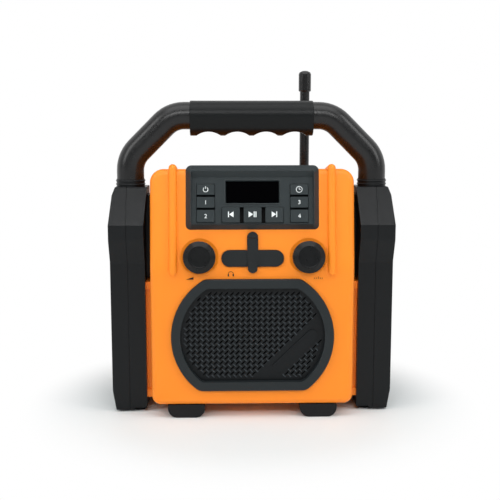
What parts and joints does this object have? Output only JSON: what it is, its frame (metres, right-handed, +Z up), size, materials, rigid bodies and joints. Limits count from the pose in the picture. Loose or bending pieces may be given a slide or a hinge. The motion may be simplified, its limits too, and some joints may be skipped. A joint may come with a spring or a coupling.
{
  "type": "jobsite radio",
  "caption": "Upright portable radio in a rounded case between two deep side guards that carry a bent tube handle, with loudspeaker, keys, knobs and a folding aerial.",
  "frame": {"origin": "on the floor under the middle of the overall width and depth", "axes": "+X to the right as seen from the front, +Y to the back, +Z up"},
  "size_m": [0.245, 0.1277, 0.2996],
  "materials": {
    "orange_shell": "satin",
    "guard_black": "fine texture",
    "panel_grey": "satin",
    "key_grey": "matte",
    "knob_black": "satin",
    "flap_rubber": "matte",
    "frame_grey": "satin",
    "grille_black": "satin",
    "window_black": "gloss",
    "tube_black": "satin powder coat",
    "grip_black": "satin",
    "foot_rubber": "matte",
    "board_green": "satin",
    "steel": "brushed",
    "zinc_screw": "zinc",
    "ferrite": "matte",
    "paper_cone": "matte",
    "cell_jacket": "gloss",
    "seal_black": "matte",
    "nickel": "polished",
    "mast_rubber": "satin"
  },
  "bodies": {
    "case": {"front_shell": "orange_shell", "rear_shell": "orange_shell", "shell_gasket": "seal_black", "case_screws": "zinc_screw", "right_pod_inner": "guard_black", "right_pod_outer": "guard_black", "left_pod_inner": "guard_black", "left_pod_outer": "guard_black", "pod_screws": "zinc_screw", "pod_feet": "foot_rubber", "handle_collars": "guard_black", "handle_tube": "tube_black", "handle_grip": "grip_black", "case_feet": "foot_rubber", "control_bezel": "panel_grey", "panel_plate": "panel_grey", "display_window": "window_black", "display_module": "window_black", "key_mat": "seal_black", "key_board": "board_green", "rotary_controls": "steel", "control_nuts": "nickel", "flap_anchor": "flap_rubber", "audio_jacks": "knob_black", "speaker_frame": "frame_grey", "speaker_grille": "grille_black", "speaker_baffle": "knob_black", "speaker_basket": "steel", "speaker_cone": "paper_cone", "speaker_magnet": "ferrite", "speaker_screws": "zinc_screw", "battery_holder": "knob_black", "battery_cells": "cell_jacket", "battery_contacts": "nickel", "main_board": "board_green", "door_pins": "steel", "door_seal": "seal_black", "dc_inlet": "knob_black", "antenna_base": "guard_black", "antenna_pin": "steel", "antenna_clip": "guard_black"},
    "volume": {"volume_knob": "knob_black", "volume_shaft": "steel"},
    "tuning": {"tuning_knob": "knob_black", "tuning_shaft": "steel"},
    "flap": {"socket_flap": "flap_rubber"},
    "door": {"battery_door": "orange_shell"},
    "left_screw": {"door_screw_left": "knob_black"},
    "right_screw": {"door_screw_right": "knob_black"},
    "aerial": {"antenna_mast": "mast_rubber", "antenna_cap": "mast_rubber"},
    "key_power_cap": {"key_power": "key_grey"},
    "key_one_cap": {"key_one": "key_grey"},
    "key_two_cap": {"key_two": "key_grey"},
    "key_clock_cap": {"key_clock": "key_grey"},
    "key_three_cap": {"key_three": "key_grey"},
    "key_four_cap": {"key_four": "key_grey"},
    "key_previous_cap": {"key_previous": "key_grey"},
    "key_play_cap": {"key_play": "key_grey"},
    "key_next_cap": {"key_next": "key_grey"}
  },
  "joints": [
    {"name": "key_power_press", "type": "slide", "parent": "case", "child": "key_power_cap", "axis": [0, 0.9744, -0.225], "range_m": [0, 0.0008], "stiffness_N_per_m": 400, "springref_m": -0.0005},
    {"name": "key_one_press", "type": "slide", "parent": "case", "child": "key_one_cap", "axis": [0, 0.9744, -0.225], "range_m": [0, 0.0008], "stiffness_N_per_m": 400, "springref_m": -0.0005},
    {"name": "key_two_press", "type": "slide", "parent": "case", "child": "key_two_cap", "axis": [0, 0.9744, -0.225], "range_m": [0, 0.0008], "stiffness_N_per_m": 400, "springref_m": -0.0005},
    {"name": "key_clock_press", "type": "slide", "parent": "case", "child": "key_clock_cap", "axis": [0, 0.9744, -0.225], "range_m": [0, 0.0008], "stiffness_N_per_m": 400, "springref_m": -0.0005},
    {"name": "key_three_press", "type": "slide", "parent": "case", "child": "key_three_cap", "axis": [0, 0.9744, -0.225], "range_m": [0, 0.0008], "stiffness_N_per_m": 400, "springref_m": -0.0005},
    {"name": "key_four_press", "type": "slide", "parent": "case", "child": "key_four_cap", "axis": [0, 0.9744, -0.225], "range_m": [0, 0.0008], "stiffness_N_per_m": 400, "springref_m": -0.0005},
    {"name": "key_previous_press", "type": "slide", "parent": "case", "child": "key_previous_cap", "axis": [0, 0.9744, -0.225], "range_m": [0, 0.0008], "stiffness_N_per_m": 400, "springref_m": -0.0005},
    {"name": "key_play_press", "type": "slide", "parent": "case", "child": "key_play_cap", "axis": [0, 0.9744, -0.225], "range_m": [0, 0.0008], "stiffness_N_per_m": 400, "springref_m": -0.0005},
    {"name": "key_next_press", "type": "slide", "parent": "case", "child": "key_next_cap", "axis": [0, 0.9744, -0.225], "range_m": [0, 0.0008], "stiffness_N_per_m": 400, "springref_m": -0.0005},
    {"name": "volume_turn", "type": "hinge", "parent": "case", "child": "volume", "pos_m": [-0.0448, -0.05267, 0.14039], "axis": [0, -0.9877, 0.1564], "range_deg": [-150, 150]},
    {"name": "tuning_turn", "type": "hinge", "parent": "case", "child": "tuning", "pos_m": [0.0472, -0.05267, 0.14039], "axis": [0, -0.9877, 0.1564], "continuous": true},
    {"name": "flap_open", "type": "hinge", "parent": "case", "child": "flap", "pos_m": [0, -0.05242, 0.15666], "axis": [-1, 0, 0], "range_deg": [0, 75], "stiffness_Nm_per_rad": 0.004, "springref_deg": -11.46},
    {"name": "door_open", "type": "hinge", "parent": "case", "child": "door", "pos_m": [0, 0.0573, 0.0305], "axis": [-1, 0, 0], "range_deg": [0, 100]},
    {"name": "left_screw_turn", "type": "hinge", "parent": "door", "child": "left_screw", "pos_m": [-0.05, 0.0578, 0.1295], "axis": [0, 1, 0], "range_deg": [0, 90]},
    {"name": "right_screw_turn", "type": "hinge", "parent": "door", "child": "right_screw", "pos_m": [0.05, 0.0578, 0.1295], "axis": [0, 1, 0], "range_deg": [0, 90]},
    {"name": "aerial_fold", "type": "hinge", "parent": "case", "child": "aerial", "pos_m": [0.051, 0.044, 0.2], "axis": [0, -1, 0], "range_deg": [0, 90]}
  ]
}
